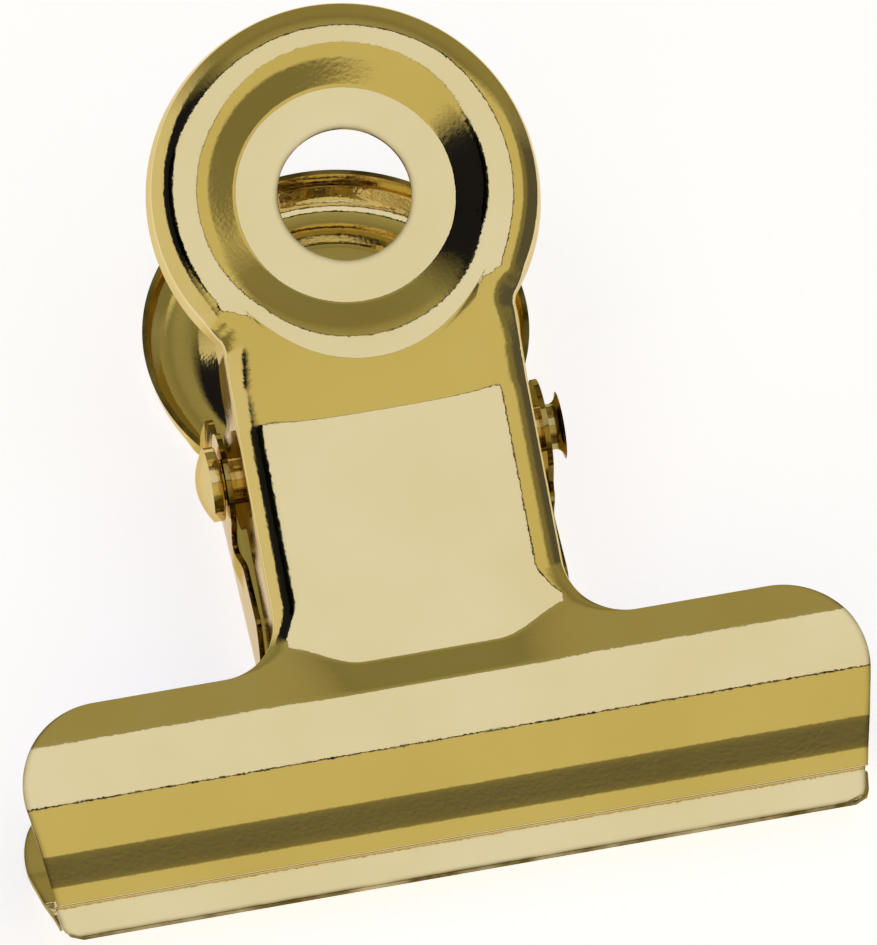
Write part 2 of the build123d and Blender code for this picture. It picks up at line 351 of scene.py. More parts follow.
def skirt(s):
    """Grid of station by column: each column is a way out from the inner line and a drop below base.

    The bend goes out by radius times sine and down by radius times one less cosine, and the fold goes
    on from the bend's last angle. In the throat the drop is taken from the climb instead.
    """
    wall = np.maximum(s.base - s.depth - cut_height(s), 0.0) / np.sin(s.lean)
    flat = np.maximum(s.inset - s.width - wall * np.cos(s.lean), 0.0)
    sizes = [flat, s.bend, s.break_at, s.slope, s.fold, s.lean, wall]
    flat, bend, break_at, slope, fold, lean, wall = [size[:, None] for size in sizes]
    turn = np.linspace(0, 1, BEND_COLUMNS) * break_at
    aslant = np.linspace(0, 1, SLOPE_COLUMNS + 1)[1:]
    tight = break_at + (lean - break_at) * np.linspace(0, 1, FOLD_COLUMNS + 1)[1:]
    down = np.linspace(0, 1, WALL_COLUMNS + 1)[1:]
    flat_out = flat * np.linspace(0, 1, FLAT_COLUMNS + 1)[:-1]
    bend_out = flat + bend * np.sin(turn)
    slope_out = bend_out[:, -1:] + slope * aslant
    fold_out = slope_out[:, -1:] + fold * (np.sin(tight) - np.sin(break_at))
    wall_out = fold_out[:, -1:] + wall * np.cos(lean) * down
    flat_low = np.zeros_like(flat_out)
    bend_low = bend * (1 - np.cos(turn))
    slope_low = bend_low[:, -1:] + slope * np.tan(break_at) * aslant
    fold_low = slope_low[:, -1:] + fold * (np.cos(break_at) - np.cos(tight))
    wall_low = fold_low[:, -1:] + wall * np.sin(lean) * down
    out = np.concatenate([flat_out, bend_out, slope_out, fold_out, wall_out], 1)
    low = np.concatenate([flat_low, bend_low, slope_low, fold_low, wall_low], 1)
    spot = s.inner[:, None, :] - s.inward[:, None, :] * out[:, :, None]
    climbing = (s.kind == ON_THROAT)[:, None]
    top = np.where(climbing, climb(spot[:, :, 0], -spot[:, :, 1]), s.base[:, None])
    return np.concatenate([spot, (top - low)[:, :, None]], 2)


front_skirt = skirt(front)
print("skirt grid", front_skirt.shape, "lowest point", front_skirt[:, :, 2].min().round(2))

# %% [markdown]
# The ear that carries the rivet hangs from the flange: a flat tab with a round end and a hole. A
# hole could be cut with a Boolean, but that leaves long thin faces. The natural grid is polar, with
# rings from the hole out to the tab's own edge, which uses the points of the flange beside it.

# %% The ear as rings between its hole and its edge
PIN_HOLE_R = 2.1
EAR_SIDE_POINTS = 4
EAR_END_POINTS = 32
EAR_RINGS = 8
SAME_SPOT = 1e-6


def ear_stations(s):
    """Numbers of the neck's stations that lie within the ear's width."""
    return np.where((s.kind == ON_NECK) & (np.abs(s.point[:, 1]) <= EAR_R + SAME_SPOT))[0]


def ear(s, grid):
    """Rings from the rivet hole to the tab's edge, each a straight mix of the two closed loops."""
    fold_end = grid.shape[1] - WALL_COLUMNS - 1
    at = ear_stations(s)
    top = grid[at, fold_end]
    far_side = grid[at[-1], fold_end:][1:]
    near_side = grid[at[0], fold_end:][1:][::-1]
    x = top[0, 0]
    straight = np.linspace(near_side[0, 2], 0.0, EAR_SIDE_POINTS + 1)[1:]
    drop = np.stack([np.full_like(straight, x), np.full_like(straight, -EAR_R), straight], 1)
    turn = np.linspace(math.pi, 2 * math.pi, EAR_END_POINTS + 1)[1:-1]
    round_end = np.stack([np.full_like(turn, x), EAR_R * np.cos(turn), EAR_R * np.sin(turn)], 1)
    rise = drop[::-1] * np.array([1.0, -1.0, 1.0])
    loop = np.concatenate([top, far_side, drop, round_end, rise, near_side])
    loop = np.concatenate([loop, loop[:1]])
    angle = np.arctan2(loop[:, 2], loop[:, 1])
    hole = np.stack([loop[:, 0], PIN_HOLE_R * np.cos(angle), PIN_HOLE_R * np.sin(angle)], 1)
    mix = np.linspace(0, 1, EAR_RINGS + 1)[:, None, None]
    return hole[None] * (1 - mix) + loop[None] * mix


print("ear rings", ear(front, front_skirt).shape)

# %% [markdown]
# The thumb disc is dished: a flat floor round the hanging hole, a slope, and a raised ridge that the
# skirt starts from. It is a lathe shape, so its profile is turned about the hole. The angles are
# those of the skirt's stations and of the neck's columns, so that the points meet.

# %% The disc as a turned profile
FLOOR = 12.8
HOLE_R = 5.9
FLOOR_CORNER = 9.67
RIDGE_CORNER = 12.85
DISH_RADII = [1.0, 4.0]
DISH_RUN_STEP = 0.6
DISH_TURN_STEP = 2.5
CENTRE_COLUMNS = 80


def disc(s):
    """Profile of hole, floor, slope and ridge, turned: x and y are radius times cosine and sine."""
    corners = [(HOLE_R, FLOOR), (FLOOR_CORNER, FLOOR), (RIDGE_CORNER, CROWN), (RIDGE_OUT, CROWN)]
    line = bent_profile(corners, DISH_RADII, DISH_RUN_STEP, DISH_TURN_STEP)
    rim = s.inner[s.kind == ON_DISC]
    right = np.arctan2(rim[:, 1] - DISC_Y, rim[:, 0])
    across = np.linspace(1, -1, CENTRE_COLUMNS + 1)[1:-1] * rim[-1, 0]
    below = np.arctan2(-np.sqrt(RIDGE_OUT ** 2 - across ** 2), across)
    left = math.pi - right[::-1]
    angle = np.concatenate([right, below, left])
    x = line[:, :1] * np.cos(angle)
    y = DISC_Y + line[:, :1] * np.sin(angle)
    return np.stack([x, y, np.broadcast_to(line[:, 1:], x.shape)], 2)


print("disc grid", disc(front).shape)

# %% [markdown]
# The neck joins the two skirts. From the ridge a straight ramp leads down to the flat panel, whose
# upper edge is a sharp line on the real plate. The rows start as the disc's own arc and straighten
# out, so that no row crosses another. In the middle the ridge is held a little before the ramp.

# %% The neck as rows from skirt to skirt
RAMP_HOLD = 0.95
HOLD_POWER = 4


def neck(s):
    """Rows between the skirts: an arc that sags less and less, then straight; ramp, panel, climb."""
    edge = s.inner[s.first:]
    share = s.share[s.first:, None]
    across = np.linspace(1, -1, CENTRE_COLUMNS + 1)
    x = edge[:, :1] * across
    start_x = edge[0, 0]
    chord = math.sqrt(RIDGE_OUT ** 2 - start_x ** 2)
    sag = np.sqrt(RIDGE_OUT ** 2 - (start_x * across) ** 2) - chord
    y = edge[:, 1:] - (1 - share) * sag
    hold = RAMP_HOLD * (1 - across ** HOLD_POWER) / (edge[0, 1] - sag - PANEL_TOP)
    slope = CROWN - (CROWN - PANEL) * ramp((share - hold) / (1 - hold), RAMP_ENDS)
    z = np.where(share < 1, slope, climb(x, -y))
    return np.stack([x, y, z], 2)


print("neck grid", neck(front).shape)

# %% [markdown]
# The jaw sheet is the jaw line swept across the clip, up to an outline with round shoulders, a slight
# taper and rounded lip corners. It could be trimmed out of a wide strip, but then the cut edge would
# step from face to face. Here each row ends exactly on the outline.

# %% The jaw as its profile swept out to the outline
SHOULDER_X = 30.0
SHOULDER_R = 7.5
SHOULDER_TURN = math.radians(66)
SHOULDER_ROWS = 26
LIP_HALF = 35.6
LIP_CORNER = 1.4
WING_COLUMNS = 24
ROW_GAP = 0.05


def jaw_half_width(y):
    """Half width of the jaw at y: the shoulder's circle, its tangent to the lip, the corner's circle."""
    shoulder_y = THROAT_Y - SHOULDER_R
    lip_y = -on_lip(LIP_REACH, LIP_FACE)[0]
    run = np.array([LIP_HALF - SHOULDER_X, lip_y - shoulder_y])
    lean = math.atan2(run[1], run[0]) + math.acos(SHOULDER_R / np.linalg.norm(run))
    touch = np.array([SHOULDER_X, shoulder_y]) + SHOULDER_R * np.array([math.cos(lean), math.sin(lean)])
    corner = np.array([LIP_HALF, lip_y])
    up = (touch - corner) / np.linalg.norm(touch - corner)
    across = np.array([-1.0, 0.0])
    half = math.acos(up @ across) / 2
    middle = (up + across) / np.linalg.norm(up + across)
    centre = corner + middle * LIP_CORNER / math.sin(half)
    start_y = corner[1] + up[1] * LIP_CORNER / math.tan(half)
    shoulder = SHOULDER_X + np.sqrt(np.maximum(SHOULDER_R ** 2 - (y - shoulder_y) ** 2, 0))
    taper = corner[0] + up[0] / up[1] * (y - corner[1])
    rounded = centre[0] + np.sqrt(np.maximum(LIP_CORNER ** 2 - (y - centre[1]) ** 2, 0))
    return np.where(y > touch[1], shoulder, np.where(y > start_y, taper, rounded))


def jaw(half):
    """Rows of the climb and of the jaw line; columns up to the throat's end, then wings to the outline."""
    throat_x = half + THROAT_R
    turn = np.linspace(0, SHOULDER_TURN, SHOULDER_ROWS)
    upper = -THROAT_Y + SHOULDER_R * (1 - np.cos(turn))
    upper = upper[upper < RISE_END - ROW_GAP]
    u = np.concatenate([upper, jaw_line[:, 0]])
    z = np.concatenate([np.full(len(upper), np.nan), jaw_line[:, 1]])
    edge = jaw_half_width(-u)
    middle = np.linspace(1, -1, CENTRE_COLUMNS + 1)[None] * throat_x
    middle = np.broadcast_to(middle, (len(u), CENTRE_COLUMNS + 1))
    share = np.linspace(1, 0, WING_COLUMNS + 1)[:-1]
    wing = throat_x + (edge[:, None] - throat_x) * share
    x = np.concatenate([wing, middle, -wing[:, ::-1]], 1)
    z = np.where(np.isnan(z)[:, None], climb(x, u[:, None]), z[:, None])
    return np.stack([x, np.broadcast_to(-u[:, None], x.shape), z], 2)


print("jaw grid", jaw(FRONT_HALF).shape)

# %% [markdown]
# The grids now become meshes. Points that fall on the same spot are welded, and squares that shrank
# to a triangle lose their doubled corner. Merge by Distance would weld too, but in numpy all grids of
# a piece are one array. Each point carries an amount from 0 to 1 of a deeper plating colour: on the
# plates it is painted shade on the folds, walls and ears, and on the rivet a darker pressed end.

# %% Weld grids into a surface
WELD_DECIMALS = 4


def weld(grids, amounts):
    """Vertices, faces and one amount per vertex of several grids, with equal points made one.

    Squares whose corners fall together become triangles, or are dropped where nothing is left.
    """
    spots = []
    squares = []
    start = 0
    for grid in grids:
        rows, columns = grid.shape[:2]
        index = start + np.arange(rows * columns).reshape(rows, columns)
        corners = [index[:-1, :-1], index[1:, :-1], index[1:, 1:], index[:-1, 1:]]
        squares.append(np.stack(corners, 2).reshape(-1, 4))
        spots.append(grid.reshape(-1, 3))
        start += rows * columns
    spots = np.concatenate(spots)
    squares = np.concatenate(squares)
    spread = [np.broadcast_to(a, g.shape[:2]).reshape(-1) for a, g in zip(amounts, grids)]
    amount = np.concatenate(spread)
    rounded = np.round(spots, WELD_DECIMALS)
    first, same = np.unique(rounded, axis=0, return_index=True, return_inverse=True)[1:]
    squares = same.reshape(-1)[squares]
    ordered = np.sort(squares, 1)
    whole = np.all(ordered[:, 1:] != ordered[:, :-1], 1)
    broken = squares[~whole]
    thirds = np.concatenate([broken[:, [0, 1, 2]], broken[:, [0, 2, 3]]])
    ordered = np.sort(thirds, 1)
    thirds = thirds[np.all(ordered[:, 1:] != ordered[:, :-1], 1)]
    return spots[first], squares[whole].tolist() + thirds.tolist(), amount[first]


def surface(name, grids, amounts, outer_up):
    """An object of the welded grids, in metres, its faces turned outwards.

    An open sheet has no inside, so for one the largest flat face says which side is out: the upper.
    """
    spots, faces, amount = weld(grids, amounts)
    mesh = bpy.data.meshes.new(name)
    mesh.from_pydata(spots / 1000.0, [], faces)
    shade_and_deep_tone = mesh.attributes.new("shade_and_deep_tone", "FLOAT", "POINT")
    shade_and_deep_tone.data.foreach_set("value", amount.astype(np.float32))
    work = bmesh.new()
    work.from_mesh(mesh)
    bmesh.ops.recalc_face_normals(work, faces=work.faces)
    if outer_up:
        flat = max(work.faces, key=lambda face: abs(face.normal.z) * face.calc_area())
        if flat.normal.z < 0:
            bmesh.ops.reverse_faces(work, faces=work.faces)
    work.to_mesh(mesh)
    work.free()
    piece = bpy.data.objects.new(name, mesh)
    bpy.context.scene.collection.objects.link(piece)
    return piece


print("points of the front jaw after welding:", len(weld([jaw(FRONT_HALF)], [0.0])[0]))

# %% [markdown]
# On the real clip the rear ears step outwards, so that they clear the front ears inside them. The
# sheet's edges are cut, so the plating on them is thin and wears first, and a dark line is painted
# along them that is partly that wear and partly painted shade. The step is a smooth shift of the
# skirt's points, and the cut edge is found from the mesh: it is where an edge has only one face.

# %% Stepped ears and cut edges
EAR_JOGGLE = 0.5
JOGGLE_SIDE = 7.2
JOGGLE_TOP = 8.6
JOGGLE_EASE = 2.4


def joggled(grid, step_out):
    """The grid with its ear stepped out: x grows by eased shares of the step across y and down z."""
    across = eased((JOGGLE_SIDE - np.abs(grid[:, :, 1])) / JOGGLE_EASE)
    down = eased((JOGGLE_TOP - grid[:, :, 2]) / JOGGLE_EASE)
    return grid + np.array([1.0, 0.0, 0.0]) * (step_out * across * down)[:, :, None]


def cut_edges(mesh):
    """1 at each vertex of the sheet's cut edge, where a mesh edge has one face only, and 0 elsewhere."""
    face_edge = np.empty(len(mesh.loops), dtype=np.int32)
    mesh.loops.foreach_get("edge_index", face_edge)
    ends = np.empty(2 * len(mesh.edges), dtype=np.int32)
    mesh.edges.foreach_get("vertices", ends)
    alone = np.bincount(face_edge, minlength=len(mesh.edges)) == 1
    cut = np.zeros(len(mesh.vertices), dtype=np.float32)
    cut[ends.reshape(-1, 2)[alone]] = 1.0
    return cut


print("rear ears stepped out by", EAR_JOGGLE, "mm")

# %% [markdown]
# Solidify gives the sheet its thickness on the inner side, and a narrow Bevel takes the knife edge
# off the cut. Both could stay live, but they are applied here, so that the finished mesh can be moved
# to its place. It is shaded smooth, and kept sharp where the sheet really has an edge.

# %% Make a plate
EDGE_ROUND = 0.12
BEVEL_ANGLE = math.radians(60)
SHARP_ANGLE = math.radians(40)


def plate(name, half, step_out, place):
    """A welded sheet of all the grids, mirrored where they are one-sided, thickened and put in place."""
    s = skirt_sizes(half)
    grid = skirt(s)
    walls = grid.shape[1] - WALL_COLUMNS
    wall = grid[:, walls - 1:]
    at = ear_stations(s)
    last = np.argmax(s.fade <= 0) if np.any(s.fade <= 0) else len(grid)
    one_side = [grid[:last + 1, :walls], wall[:at[0] + 1], wall[at[-1]:last + 1], ear(s, grid)]
    one_side = [joggled(g, step_out) for g in one_side]
    other_side = [g * np.array([-1.0, 1.0, 1.0]) for g in one_side]
    # Painted shade: the deeper plating colour rises over the fold and is full on the walls and ears.
    folded = np.linspace(0, 1, FOLD_COLUMNS + 1)[1:]
    folded = np.concatenate([np.zeros(walls - FOLD_COLUMNS), folded])
    shade_and_deep_tone = s.square[:, None] * folded
    shade_and_deep_tone = [shade_and_deep_tone[:last + 1], s.square[:at[0] + 1, None], 1.0, 1.0] * 2 + [0.0, 0.0, 0.0]
    piece = surface(name, one_side + other_side + [disc(s), neck(s), jaw(half)], shade_and_deep_tone, True)
    cut = piece.data.attributes.new("cut_edge", "FLOAT", "POINT")
    cut.data.foreach_set("value", cut_edges(piece.data))
    thick = piece.modifiers.new("sheet", "SOLIDIFY")
    thick.thickness = SHEET / 1000.0
    thick.offset = -1.0
    thick.use_even_offset = True
    edge = piece.modifiers.new("edge", "BEVEL")
    edge.width = EDGE_ROUND / 1000.0
    edge.segments = 1
    edge.limit_method = "ANGLE"
    edge.angle_limit = BEVEL_ANGLE
    bpy.context.view_layer.update()
    finished = piece.evaluated_get(bpy.context.evaluated_depsgraph_get())
    made = bpy.data.meshes.new_from_object(finished)
    piece.modifiers.clear()
    piece.data = made
    made.name = name
    made.transform(place)
    made.shade_smooth()
    made.set_sharp_from_angle(angle=SHARP_ANGLE)
    triangles = sum(len(face.vertices) - 2 for face in made.polygons)
    print(name, len(made.vertices), "vertices", triangles, "triangles")
    return piece


print("a plate is", SHEET, "mm thick with its edges rounded by", EDGE_ROUND, "mm")

# %% [markdown]
# Both plates are pressed alike, and only the width over the neck and the stepped ears differ.
# The rear plate is turned half round to lie on its back, the front plate leans over it by the spread,
# and play on the rivet sets them a little apart sideways. Each then rides on its own body.

# %% Front and rear plate
SIDE_SHIFT = 0.4
hinge = Matrix.Translation((0, HINGE_Y / 1000, HINGE_HEIGHT / 1000))
front_turn = Matrix.Rotation(SPREAD, 4, "X")
rear_turn = Matrix.Rotation(math.pi, 4, "Y")
front_place = Matrix.Translation((-SIDE_SHIFT / 2000, 0, 0)) @ hinge @ front_turn
rear_place = Matrix.Translation((SIDE_SHIFT / 2000, 0, 0)) @ hinge @ rear_turn
front_sheet = plate("front_sheet", FRONT_HALF, 0.0, front_place)
rear_sheet = plate("rear_sheet", REAR_HALF, EAR_JOGGLE, rear_place)
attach(front_sheet, "front_plate")
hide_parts("front_plate")
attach(rear_sheet, "rear_plate")
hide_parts("rear_plate")

# %% [markdown]
# The rivet and the spring are solid, not sheet. A closed grid gives such a piece directly, with no
# thickness to add. A turned part is a profile swept about its axis, here the hinge. The Screw
# modifier would do that too, but a grid goes through the same weld as the plates.

# %% Closed and turned pieces
def solid(name, grid, shade_and_deep_tone):
    """A closed piece welded from one grid in millimetres of the clip's own frame, shaded smooth."""
    piece = surface(name, [grid], [shade_and_deep_tone], False)
    piece.data.shade_smooth()
    piece.data.set_sharp_from_angle(angle=SHARP_ANGLE)
    print(name, len(piece.data.vertices), "vertices")
    return piece


def turned(line, count):
    """A profile of (x, r) points turned about the hinge axis: y and z are r times cosine and sine."""
    angle = np.linspace(0, 2 * math.pi, count + 1)
    y = HINGE_Y + line[:, 1:] * np.cos(angle)
    z = HINGE_HEIGHT + line[:, 1:] * np.sin(angle)
    return np.stack([np.broadcast_to(line[:, :1], y.shape), y, z], 2)


print("a washer of 12 sides:", turned(np.array([[0.0, 1.0], [0.0, 2.0]]), 12).shape)

# %% [markdown]
# The rivet holds the four ears: a low domed head on the left, a plain shank, and a drilled end that
# the press has flared on the right. The dome is a parabola and the flare an arc of an ellipse.
# They could be lathed from a traced curve, but sizes are easier to correct. The flared end is
# given a darker plating colour.

# %% The rivet
HEAD_R = 3.3
HEAD_TOP = -16.6
HEAD_DOME = 1.1
HEAD_SEAT = -14.5
SHANK_R = 2.05
SHANK_END = 15.45
FLARE_TURN = math.radians(80)
FLARE_LENGTH = 0.75
FLARE_OUT = 0.95
FLARE_WALL = 0.7
BORE_R = 1.35
BORE_END = 9.1
PRESSED_FROM = 15.2
PRESSED_EASE = 0.5
RIVET_SIDES = 72
dome_r = np.linspace(0, HEAD_R, 14)
dome = np.stack([HEAD_TOP + HEAD_DOME * (dome_r / HEAD_R) ** 2, dome_r], 1)
seat = [dome[-1], (HEAD_SEAT, HEAD_R), (HEAD_SEAT, SHANK_R), (SHANK_END, SHANK_R)]
shank = bent_profile(seat, [0.2, 0.15], 2.0, 15.0)
swell = np.linspace(0, FLARE_TURN, 12)
flare_x = SHANK_END + FLARE_LENGTH * np.sin(swell) / math.sin(FLARE_TURN)
flare_r = SHANK_R + FLARE_OUT * (1 - np.cos(swell)) / (1 - math.cos(FLARE_TURN))
flare = np.stack([flare_x, flare_r], 1)
cup = np.stack([flare_x[::-1], flare_r[::-1] - FLARE_WALL], 1)
bore = np.array([(BORE_END, BORE_R), (BORE_END, 0.0)])
rivet_line = np.concatenate([dome[:-1], shank, flare[1:], cup, bore])
pressed_end = eased((rivet_line[:, :1] - PRESSED_FROM) / PRESSED_EASE)
rivet = solid("rivet", turned(rivet_line, RIVET_SIDES), pressed_end)
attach(rivet, "hinge_pin")
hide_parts("hinge_pin")

# %% [markdown]
# The spring is one length of drawn wire: a straight leg under the front plate, just over nine turns
# round the rivet and a straight leg under the rear plate. Blender can draw a spiral, but not with legs
# that fit the plates, so the line of the wire's middle is worked out. Each leg leaves at a tangent.

# %% The line of the spring
WIRE_R = 0.75
COIL_R = 3.6
COIL_LENGTH = 19.4
COIL_TURNS = 9
TURN_POINTS = 48
LEG_POINTS = 13
FOOT_REACH = 5.5
FOOT_CLEAR = 0.1
FOOT_HEIGHT = PANEL - SHEET - WIRE_R - FOOT_CLEAR


def spring_point(x, radius, angle):
    """A point at x, and at a radius and an angle about the hinge axis."""
    return [x, HINGE_Y + radius * math.cos(angle), HINGE_HEIGHT + radius * math.sin(angle)]


def spring_line():
    """Leg, helix and leg: x and the angle grow evenly along the helix, and the legs are straight."""
    foot_distance = math.hypot(FOOT_REACH, FOOT_HEIGHT)
    foot_angle = CLOSING + math.atan2(FOOT_HEIGHT, FOOT_REACH)
    leave = foot_angle + math.acos(COIL_R / foot_distance)
    total = 2 * math.pi * (COIL_TURNS + 1) - 2 * leave
    angle = np.linspace(0, total, COIL_TURNS * TURN_POINTS + 1)
    lean = leave + angle + CLOSING
    coil_x = COIL_LENGTH * (angle / total - 0.5)
    coil_y = HINGE_Y + COIL_R * np.cos(lean)
    coil_z = HINGE_HEIGHT + COIL_R * np.sin(lean)
    coil = np.stack([coil_x, coil_y, coil_z], 1)
    front_foot = np.array(spring_point(-COIL_LENGTH / 2, foot_distance, foot_angle + CLOSING))
    rear_foot = np.array(spring_point(COIL_LENGTH / 2, foot_distance, CLOSING - foot_angle))
    share = np.linspace(0, 1, LEG_POINTS)[:, None]
    front_leg = front_foot + (coil[0] - front_foot) * share
    rear_leg = coil[-1] + (rear_foot - coil[-1]) * share
    return np.concatenate([front_leg, coil[1:-1], rear_leg])


print("spring line of", len(spring_line()), "points")

# %% [markdown]
# A tube is carried along that line as a mesh. A curve with a bevel would look the same. Its legs
# lie under the two different plates.

# %% The spring as a tube
CAP_SHARE = 0.82
WIRE_SIDES = 18


def tube(line, radius, count):
    """Rings square to the line, radius times cosine and sine along two side vectors, with flat caps."""
    along = np.gradient(line, axis=0)
    along = along / np.linalg.norm(along, axis=1)[:, None]
    side = np.array([1.0, 0.0, 0.0]) - along[:, :1] * along
    side = side / np.linalg.norm(side, axis=1)[:, None]
    other = np.cross(along, side)
    angle = np.linspace(0, 2 * math.pi, count + 1)[None, :, None]
    rings = line[:, None] + radius * (np.cos(angle) * side[:, None] + np.sin(angle) * other[:, None])
    caps = [np.broadcast_to(line[end], rings[0].shape) * (1 - part) + rings[end] * part
            for end in (0, -1) for part in (0.0, CAP_SHARE)]
    return np.concatenate([[caps[0]], [caps[1]], rings, [caps[3]], [caps[2]]])


spring = solid("spring_coil", tube(spring_line(), WIRE_R, WIRE_SIDES), 0.0)
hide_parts("torsion_spring")
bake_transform(spring)

# %% [markdown]
# Every finish is a small tree of nodes. The trees could be clicked together in the Shader Editor,
# but in a script two helpers are enough: one turns a written colour into the linear values that
# Blender calculates with, and one adds a node and fills its inputs.

# %% Colour and node helpers
def linear(text):
    """A written sRGB hex colour as linear values: the sRGB curve undone, with an alpha of 1."""
    value = np.array([int(text[i:i + 2], 16) for i in (1, 3, 5)]) / 255
    value = np.where(value <= 0.04045, value / 12.92, ((value + 0.055) / 1.055) ** 2.4)
    return (*value.tolist(), 1.0)


def add(tree, kind, inputs=None, **settings):
    """Adds a node, sets its properties, and fills each named or numbered input with a link or a value."""
    node = tree.nodes.new(kind)
    for key, value in settings.items():
        setattr(node, key, value)
    for key, value in (inputs or {}).items():
        if isinstance(value, bpy.types.NodeSocket):
            tree.links.new(value, node.inputs[key])
        else:
            node.inputs[key].default_value = value
    return node


print("brass in linear light:", [round(v, 3) for v in linear("#E4D5A7")])

# %% [markdown]
# The plates are pressed from mild steel and plated bright with brass. Plating over a pressed sheet
# is a mirror that is not quite flat: it has a fine orange peel, so the edge of a reflection comes
# out ragged, and a slower waviness from the press. A deeper colour is painted as shade on the folds,
# walls and ears, and the cut edges get a dark line that is partly wear and partly painted shade.
# A plain metal shader would show none of that.

# %% Plated metal
MILLIMETRE = 0.001
PATCH_SIZE = 12 * MILLIMETRE
HAZE_SIZE = 4 * MILLIMETRE
WAVE_SIZE = 6 * MILLIMETRE
WAVE_DEPTH = 0.02 * MILLIMETRE
# Real orange peel is finer still. At 0.4 mm it can still be seen in the picture.
PEEL_SIZE = 0.4 * MILLIMETRE
# Seen along the surface, a metal reflects in this paler tint.
EDGE_TINT = "#EEDDB0"
# Dark line along the cut edges: partly worn plating, partly painted shade.
WORN_AND_SHADED_EDGE = "#5A4B22"


def plating(name, bright, dull, deep, rough, peel):
    """Plated metal: two tints in soft patches, a deeper one painted as shade where marked, edges darkened
    by wear and painted shade, and orange peel.
    """
    material = bpy.data.materials.new(name)
    material.use_nodes = True
    tree = material.node_tree
    shader = tree.nodes["Principled BSDF"]
    shader.inputs["Metallic"].default_value = 1.0
    shader.inputs["Specular Tint"].default_value = linear(EDGE_TINT)
    place = add(tree, "ShaderNodeTexCoord").outputs["Object"]
    patch = add(tree, "ShaderNodeTexNoise", {"Vector": place, "Scale": 1 / PATCH_SIZE, "Detail": 3.0})
    tint = add(tree, "ShaderNodeValToRGB", {"Fac": patch.outputs["Fac"]})
    tint.color_ramp.elements[0].position = 0.35
    tint.color_ramp.elements[0].color = linear(dull)
    tint.color_ramp.elements[1].position = 0.65
    tint.color_ramp.elements[1].color = linear(bright)
    # Painted shade: where the mesh is marked, the plates' folds, walls and ears take the deeper colour.
    shade_and_deep_tone = add(tree, "ShaderNodeAttribute", attribute_name="shade_and_deep_tone").outputs["Fac"]
    tone = add(tree, "ShaderNodeMix", {
        "Factor": shade_and_deep_tone, 6: tint.outputs["Color"], 7: linear(deep),
    }, data_type="RGBA")
    haze = add(tree, "ShaderNodeTexNoise", {"Vector": place, "Scale": 1 / HAZE_SIZE, "Detail": 4.0})
    # Painted shade and wear: a narrow dark line in that colour along the cut edges, broken up by the haze.
    cut = add(tree, "ShaderNodeAttribute", attribute_name="cut_edge").outputs["Fac"]
    uneven = add(tree, "ShaderNodeMapRange", {
        "Value": haze.outputs["Fac"], "From Min": 0.35, "From Max": 0.65, "To Min": 0.45, "To Max": 1.0,
    })
    narrow = add(tree, "ShaderNodeMath", {0: cut, 1: 3.0}, operation="POWER")
    wear_and_shade = add(tree, "ShaderNodeMath", {
        0: uneven.outputs["Result"], 1: narrow.outputs[0],
    }, operation="MULTIPLY")
    tone = add(tree, "ShaderNodeMix", {
        "Factor": wear_and_shade.outputs[0], 6: tone.outputs[2], 7: linear(WORN_AND_SHADED_EDGE),
    }, data_type="RGBA")
    tree.links.new(tone.outputs[2], shader.inputs["Base Color"])
    gloss = add(tree, "ShaderNodeMapRange", {
        "Value": haze.outputs["Fac"], "From Min": 0.3, "From Max": 0.7,
        "To Min": rough * 0.7, "To Max": rough * 1.3,
    })
    tree.links.new(gloss.outputs["Result"], shader.inputs["Roughness"])
    fine = add(tree, "ShaderNodeTexNoise", {"Vector": place, "Scale": 1 / PEEL_SIZE, "Detail": 1.0})
    slow = add(tree, "ShaderNodeTexNoise", {"Vector": place, "Scale": 1 / WAVE_SIZE, "Detail": 1.0})
    wave = add(tree, "ShaderNodeBump", {"Height": slow.outputs["Fac"], "Distance": WAVE_DEPTH})
    skin = add(tree, "ShaderNodeBump", {
        "Height": fine.outputs["Fac"], "Distance": peel, "Normal": wave.outputs["Normal"],
    })
    tree.links.new(skin.outputs["Normal"], shader.inputs["Normal"])
    return material


print("orange peel of", PEEL_SIZE / MILLIMETRE, "mm, waves of", WAVE_SIZE / MILLIMETRE, "mm")

# %% [markdown]
# The plates, the rivet and the wire are three different metals to the eye, and each is finished in one
# bath, so each piece takes one finish all over. They could share one material, but the duller wire
# and the softer rivet set off the plates.

# %% Dress the pieces
# Bright brass plating on cold-pressed steel: to the eye a pale gold mirror with crisp reflections.
# Its third colour is painted shade on the folds, walls and ears.
plated_steel = plating("brass_plated_pressed_steel", "#E4D5A7", "#E1D09E", "#C6AE66", 0.08, 0.000009)
# The same plating on an upset rivet: to the eye a softer gold, with a dark, pressed end.
rivet_steel = plating("brass_plated_rivet_steel", "#E0CD98", "#D3BC82", "#6F6038", 0.14, 0.000012)
# Drawn spring wire with a thin, dull coat: to the eye a greyish metal with a broad, soft highlight.
spring_steel = plating("drawn_spring_wire", "#B7AE98", "#9A9079", "#8C8570", 0.24, 0.000010)
dressed = [
    (front_sheet, plated_steel, "plated_steel"),
    (rear_sheet, plated_steel, "plated_steel"),
    (rivet, rivet_steel, "rivet_steel"),
    (spring, spring_steel, "spring_steel"),
]
for piece, material, slot in dressed:
    piece.data.materials.clear()
    piece.data.materials.append(material)
print("finishes:", [material.name for piece, material, slot in dressed])

# %% [markdown]
# The picture is taken on a plain white sweep. The floor is matt and catches the clip's shadow. To
# the camera and in mirror reflections it also glows, so that it reads as white paper in both. A
# stronger lamp would whiten it too, but would bleach the brass.

